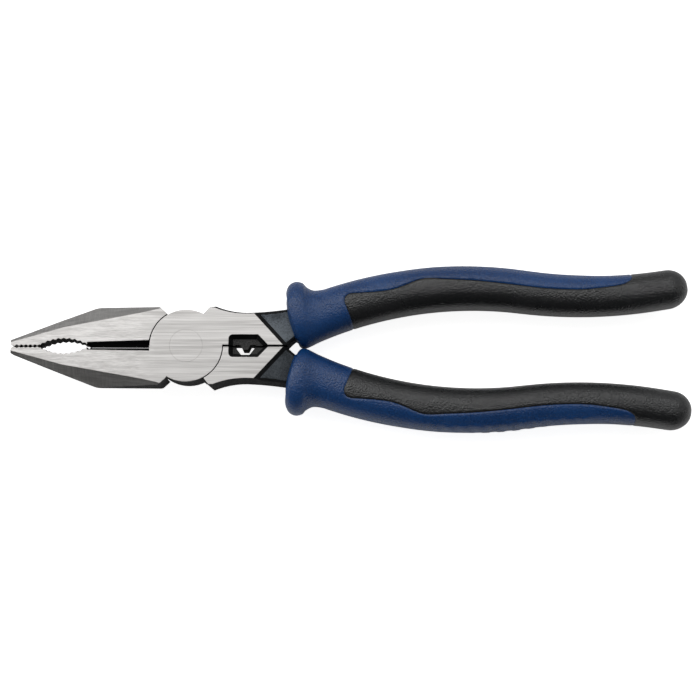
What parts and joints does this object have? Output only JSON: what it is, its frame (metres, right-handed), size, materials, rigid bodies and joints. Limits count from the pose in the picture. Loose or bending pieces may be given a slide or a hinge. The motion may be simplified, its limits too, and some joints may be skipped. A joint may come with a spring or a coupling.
{
  "type": "combination pliers",
  "caption": "Side-cutting combination pliers with serrated nose, toothed pipe grip, crimping die behind a flush riveted lap joint and two-material flanged grips.",
  "frame": {"origin": "on the pivot axis, in the plane of the head's lower ground face", "axes": "+Z along the pivot axis, -X towards the jaw tip, +X towards the handle ends, +Y towards the handle of the indenter half"},
  "size_m": [0.2166, 0.0534, 0.019],
  "materials": {
    "ground_steel": "ground bright on the flats, dark forged on the tangs",
    "black_grip": "fine grained vinyl, satin",
    "blue_grip": "fine grained vinyl, satin"
  },
  "bodies": {
    "nest_side": {"nest_half": "ground_steel", "joint_rivet": "ground_steel", "grip_core_lower": "black_grip", "grip_sleeve_lower": "blue_grip"},
    "indenter_side": {"indenter_half": "ground_steel", "grip_core_upper": "black_grip", "grip_sleeve_upper": "blue_grip"}
  },
  "joints": [
    {"name": "joint_pivot", "type": "hinge", "parent": "nest_side", "child": "indenter_side", "pos_m": [0, 0, 0], "axis": [0, 0, 1], "range_deg": [0, 48]}
  ]
}
